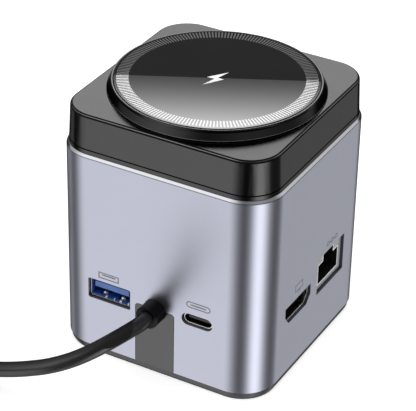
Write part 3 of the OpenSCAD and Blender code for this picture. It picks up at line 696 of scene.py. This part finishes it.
def add_usb_a_lining():
    """Blue lining of the USB-A socket with slots for the springs, and small white boxes for the contact
    fingers' ends, painted as highlights.
    """
    half_width, half_height, thickness, floor_thickness = 6.15, 2.5, 0.12, 0.22
    spring_places, slot_half = (-2.9, 2.9), 1.25
    lip = 0.7
    left, right = USB_A_X - half_width, USB_A_X + half_width
    front, back = -31.55, -24
    low = USB_A_Z - half_height
    high = low + floor_thickness
    bm = bmesh.new()
    box_between(bm, (left, front, low), (left + thickness, back, USB_A_Z + half_height))
    edges = [left + thickness]
    for spring in spring_places:
        edges += [USB_A_X + spring - slot_half, USB_A_X + spring + slot_half]
    edges.append(right)
    for start, end in zip(edges[::2], edges[1::2]):
        box_between(bm, (start, front, low), (end, back, high))
    for start, end in zip(edges[1::2], edges[2::2]):
        box_between(bm, (start, front, low), (end, front + lip, high))
    new_piece("usb_a_lining", bm, "socket_blue")
    # The contact fingers' ends: small boxes painted white as highlights
    bm = bmesh.new()
    for middle, width in ((-1.65, 0.5), (0.93, 0.3), (2.98, 0.7), (5.5, 0.5)):
        box_between(
            bm, (USB_A_X + middle - width / 2, front - 0.05, low + 0.02),
            (USB_A_X + middle + width / 2, front + 0.5, low + 0.4))
    new_piece("usb_a_finger_highlights", bm, "socket_metal", look="socket_edge_painted_highlight")


def add_socket_rims():
    """Edges round the openings of the network, display and USB-C sockets, painted white as highlights."""
    edge, fine_edge = 0.36, 0.3
    # The network socket's opening has a narrower part for the plug's latch above it
    wide, latch = 12.3 / 2 + 0.05, 6.4 / 2 + 0.05
    bottom, shoulder, top = -4.05, 2.55, 4.65
    bm = bmesh.new()
    printed_loop(bm, [
        (NETWORK_Y + u, NETWORK_Z + v) for u, v in (
            (-wide, bottom), (wide, bottom), (wide, shoulder), (latch, shoulder),
            (latch, top), (-latch, top), (-latch, shoulder), (-wide, shoulder))
    ], edge, on_socket_in_side_face)
    new_piece("network_rim_highlight", bm, "socket_metal", look="socket_edge_painted_highlight")
    # The display socket's two lower corners are cut off
    wide, high, cut = 7.22, 2.5, 2.12
    bm = bmesh.new()
    printed_loop(bm, [
        (DISPLAY_Y + u, DISPLAY_Z + v) for u, v in (
            (cut - wide, -high), (wide - cut, -high), (wide, cut - high), (wide, high),
            (-wide, high), (-wide, cut - high))
    ], edge, on_socket_in_side_face)
    new_piece("display_rim_highlight", bm, "socket_metal", look="socket_edge_painted_highlight")
    bm = bmesh.new()
    printed_loop(bm, pill(USB_C_X, USB_C_Z, 2.84, 1.48), fine_edge, on_socket_in_lead_face)
    new_piece("usb_c_rim_highlight", bm, "socket_metal", look="socket_edge_painted_highlight")


def add_panel_seam():
    """Fine dark joint round the panel under the collar."""
    half, low, top, corner = 6.12, 2.6, 21.72, 0.7
    seam_width = 0.14
    line = [(-half, low), (-half, top - corner), (-half + corner, top),
            (half - corner, top), (half, top - corner), (half, low)]
    bm = bmesh.new()
    for start, end in zip(line, line[1:]):
        printed_bar(bm, start, end, seam_width, on_lead_face)
    new_piece("panel_seam", bm, "base_plastic", look="painted_shade_and_joint_black")


# ---------- marks ----------

def add_dial():
    """Ring of fine marks round the edge of the glass."""
    marks = 183
    inner_r, outer_r, width = 24.0, 27.35, 0.40
    bm = bmesh.new()
    for i in range(marks):
        angle = 2 * math.pi * i / marks
        way = Vector((math.cos(angle), math.sin(angle)))
        printed_bar(bm, way * inner_r, way * outer_r, width, on_glass)
    return new_piece("dial_marks", bm, "nylon_white", look="dial_print")


def add_bolt():
    """Lightning bolt in the middle of the glass."""
    corners = [(1.24, 4.26), (-2.6, -1.1), (-0.35, -0.95), (-1.5, -5.5), (2, 0), (0.15, 0)]
    bm = bmesh.new()
    printed_shape(bm, corners, on_glass)
    return new_piece("bolt_mark", bm, "nylon_white", look="bolt_white")


def rectangle(left, low, right, high):
    return [(left, low), (right, low), (right, high), (left, high)]


def add_socket_marks():
    """Small plain pictograms over the sockets, in place of lettering."""
    line, bold = 0.34, 0.42
    bm = bmesh.new()
    # Socket mouth with its tongue
    printed_loop(bm, rectangle(-17.8, 26.1, -11.6, 27.8), line, on_lead_face)
    printed_bar(bm, (-16.9, 27.2), (-12.5, 27.2), bold, on_lead_face)
    # Rounded slot with its tongue
    printed_loop(bm, pill(13.6, 27.1, 2.75, 0.85), line, on_lead_face)
    printed_bar(bm, (11.2, 27.1), (16.0, 27.1), bold, on_lead_face)
    # Screen on its foot
    printed_loop(bm, rectangle(-12.4, 26.6, -8.2, 28.6), line, on_side_face)
    printed_bar(bm, (-11.4, 26.0), (-9.2, 26.0), line, on_side_face)
    # Three linked squares
    side, pitch, first, low = 1.2, 2.5, 6.6, 31.1
    for k in range(3):
        left = first + pitch * k
        printed_loop(bm, rectangle(left, low, left + side, low + 1), line, on_side_face)
    printed_bar(bm, (7.9, 31.6), (9.0, 31.6), line, on_side_face)
    printed_bar(bm, (10.4, 31.6), (11.5, 31.6), line, on_side_face)
    new_piece("socket_marks", bm, "steel", look="mark_grey")


# ---------- stage, light and surroundings ----------

def stage_object(name, bm, material):
    mesh = bpy.data.meshes.new(name)
    bm.to_mesh(mesh)
    bm.free()
    mesh.materials.append(material)
    made = bpy.data.objects.new(name, mesh)
    bpy.context.scene.collection.objects.link(made)
    return made


def add_floor():
    """Round pale floor, which reflections don't show."""
    bm = bmesh.new()
    bmesh.ops.create_circle(bm, cap_ends=True, segments=96, radius=4)
    paper = Recipe("studio_floor", 0.9)
    paper.set(paper.shader, Base_Color=(0.9, 0.9, 0.9, 1))
    paper.set(paper.shader, Emission_Color=(1, 1, 1, 1), Emission_Strength=0.6)
    floor = stage_object("floor", bm, paper.material)
    floor.visible_glossy = False


def add_reflected_rod():
    """Dark rod that only reflections show: it draws the lead's soft streak on the aluminium."""
    radius, sides = LEAD_D * 0.47, 16
    line = smooth_line([
        (0, -37.4, 21.3), (-1.2, -43, 21.3), (-1.9, -48, 21.3), (-2.9, -54.4, 21.3),
        (-5.4, -62, 21.3), (-8.3, -69.5, 21.2), (-12, -77, 21)], SPAN_STEPS)
    bm = bmesh.new()
    swept_tube(bm, [q * MM for q in line], radius, sides)
    rod = stage_object("reflected_rod", bm, MATERIALS["painted_shade_and_joint_black"])
    rod.visible_camera = False
    rod.visible_diffuse = False
    rod.visible_shadow = False


def add_surroundings():
    """Studio seen in reflections: soft bright and dark stretches round the horizon.

    Directions round the horizon are in degrees from -Y, positive towards +X.
    """
    world = bpy.data.worlds.new("studio")
    bpy.context.scene.world = world
    world.use_nodes = True
    tree = world.node_tree
    background = tree.nodes["Background"]

    def node(kind, **values):
        made = tree.nodes.new(kind)
        for key, value in values.items():
            setattr(made, key, value)
        return made

    def math_node(operation, *inputs):
        made = node("ShaderNodeMath", operation=operation)
        for i, value in enumerate(inputs):
            if isinstance(value, (int, float)):
                made.inputs[i].default_value = value
            else:
                tree.links.new(value, made.inputs[i])
        return made.outputs[0]

    def ramp(factor, stops, interpolation):
        """Brightness at each direction; it is halved in the ramp, which holds no more than 1."""
        made = node("ShaderNodeValToRGB")
        made.color_ramp.interpolation = interpolation
        elements = made.color_ramp.elements
        while len(elements) < len(stops):
            elements.new(0.5)
        for element, (degrees, value) in zip(elements, stops):
            element.position = degrees / 360 + 0.5
            element.color = (value / 2, value / 2, value / 2, 1)
        tree.links.new(factor, made.inputs["Fac"])
        return math_node("MULTIPLY", made.outputs["Color"], 2)

    split = node("ShaderNodeSeparateXYZ")
    tree.links.new(node("ShaderNodeTexCoord").outputs["Generated"], split.inputs[0])
    x, y, z = split.outputs
    turn = math_node("ARCTAN2", x, math_node("MULTIPLY", y, -1))
    around = math_node("MULTIPLY_ADD", turn, 1 / (2 * math.pi), 0.5)

    floor_side = ramp(around, [
        (-180, 0), (-125, 0.04), (-114, 0.10), (-101, 0.58), (-88, 0.14), (-76, 0.02), (-64, 0.13),
        (-50, 0.86), (-26, 1.20), (-10, 0.72), (3, 0.24), (12, 0.06), (24, 0.03), (36, 0.10),
        (45, 0.58), (57, 1.82), (72, 1.98), (84, 0.98), (95, 0.24), (106, 0.09), (124, 0.09),
        (137, 0.12), (147, 0.80), (160, 0.78), (168, 0.06), (176, 0)], "LINEAR")
    sky_side = ramp(around, [
        (-180, 0.16), (-120, 0.16), (-80, 0.4), (-32, 1.02), (17, 0.14),
        (65, 0.3), (110, 0.2), (142, 0.65), (165, 0.3), (180, 0.16)], "EASE")

    def step(start, end):
        """0 below the one height on the sphere round the scene, 1 above the other."""
        made = node("ShaderNodeMapRange", interpolation_type="SMOOTHSTEP")
        tree.links.new(z, made.inputs["Value"])
        made.inputs["From Min"].default_value = start
        made.inputs["From Max"].default_value = end
        return made.outputs["Result"]

    def blended(factor, first, second):
        made = node("ShaderNodeMix", data_type="FLOAT")
        tree.links.new(factor, made.inputs[0])
        for i, value in ((2, first), (3, second)):
            if isinstance(value, (int, float)):
                made.inputs[i].default_value = value
            else:
                tree.links.new(value, made.inputs[i])
        return made.outputs[0]

    nadir, belt, zenith = 0.7, 0.03, 0.05
    light = nadir
    for start, end, above in (
            (-0.88, -0.78, floor_side), (-0.20, -0.12, belt), (0.10, 0.18, sky_side),
            (0.76, 0.84, zenith)):
        light = blended(step(start, end), light, above)
    tree.links.new(light, background.inputs["Color"])


def add_area_light(name, place, aim, size, power, size_y=None):
    """Square softbox, or a rectangular one where size_y is given."""
    light = bpy.data.lights.new(name, "AREA")
    light.energy = power
    light.size = size
    if size_y:
        light.shape = "RECTANGLE"
        light.size_y = size_y
    lamp = bpy.data.objects.new(name, light)
    lamp.location = place
    lamp.rotation_euler = (Vector(aim) - Vector(place)).to_track_quat("-Z", "Y").to_euler()
    bpy.context.scene.collection.objects.link(lamp)
    return lamp


def light_only(lamp, *pieces):
    """The lamp lights these pieces and no others."""
    group = bpy.data.collections.new(lamp.name + "_lit")
    for piece in pieces:
        group.objects.link(piece)
    lamp.light_linking.receiver_collection = group


def mirrored(x, y, z, distance):
    """Where the camera's ray that meets a level surface at this point goes on to."""
    point = mm(x, y, z)
    ray = point - bpy.context.scene.camera.matrix_world.translation
    ray.z = -ray.z
    return point + ray.normalized() * distance


def add_split_softbox(name, power, *pieces):
    """A softbox whose edge shows as a straight line across the middle of the glass."""
    distance, width = 0.5, 0.3
    height = GLASS_TOP / MM
    left = mirrored(-25.1, -13.2, height, distance)
    right = mirrored(24.9, 12.6, height, distance)
    near = mirrored(11.5, -24, height, distance)
    along = (right - left).normalized()
    down = (near - left) - along * (near - left).dot(along)
    depth = down.length
    down.normalize()
    centre = (left + right) / 2 + down * depth
    lamp = add_area_light(name, centre, (0, 0, 0), width, power, 2 * depth)
    facing = along.cross(down)
    if facing.dot(centre) < 0:
        facing = -facing
    turn = Matrix((down.cross(facing), down, facing)).transposed()
    lamp.matrix_world = Matrix.Translation(centre) @ turn.to_4x4()
    light_only(lamp, *pieces)
    return lamp


def grade_softbox(lamp, constant, linear, square):
    """Brightness constant + linear * u + square * u * u, with u from 0 at the lamp's edge to 1."""
    lamp.data.use_nodes = True
    tree = lamp.data.node_tree
    place = tree.nodes.new("ShaderNodeNewGeometry")
    split = tree.nodes.new("ShaderNodeSeparateXYZ")
    tree.links.new(place.outputs["Parametric"], split.inputs[0])
    u = split.outputs[1]
    slope = tree.nodes.new("ShaderNodeMath")
    slope.operation = "MULTIPLY_ADD"
    tree.links.new(u, slope.inputs[0])
    slope.inputs[1].default_value = square
    slope.inputs[2].default_value = linear
    strength = tree.nodes.new("ShaderNodeMath")
    strength.operation = "MULTIPLY_ADD"
    tree.links.new(slope.outputs[0], strength.inputs[0])
    tree.links.new(u, strength.inputs[1])
    strength.inputs[2].default_value = constant
    tree.links.new(strength.outputs[0], tree.nodes["Emission"].inputs["Strength"])


def add_lights(cap, bezel, glass, dial, bolt):
    """Soft light from above, and softboxes that mirror into the camera on the cap and the glass."""
    top = add_area_light("overhead", (0, 0, 1), (0, 0, 0), 1.2, 9)
    top.visible_glossy = False
    deck = 75
    centre = mirrored(0, 0, deck, 0.6)
    cap_light = add_area_light("cap_softbox", centre, mm(0, 0, deck), 0.5, 1.14, 0.24)
    light_only(cap_light, cap, bezel)
    add_split_softbox("dial_softbox", 0.22, dial)
    glass_light = add_split_softbox("glass_softbox", 2.2, glass, bolt)
    grade_softbox(glass_light, 0.0156, 0.110, 0.4375)


# ---------- assembly ----------

MATERIALS = make_materials()
add_camera()
dress_cad_nodes()
add_sleeve()
add_base()
cap = add_cap()
bezel, glass = add_puck()
refine_shells()
refine_inserts()
add_usb_a_lining()
add_socket_rims()
add_panel_seam()
dial = add_dial()
bolt = add_bolt()
add_socket_marks()
add_lead()
add_floor()
add_reflected_rod()
add_surroundings()
add_lights(cap, bezel, glass, dial, bolt)
bpy.context.scene.view_settings.view_transform = "Standard"
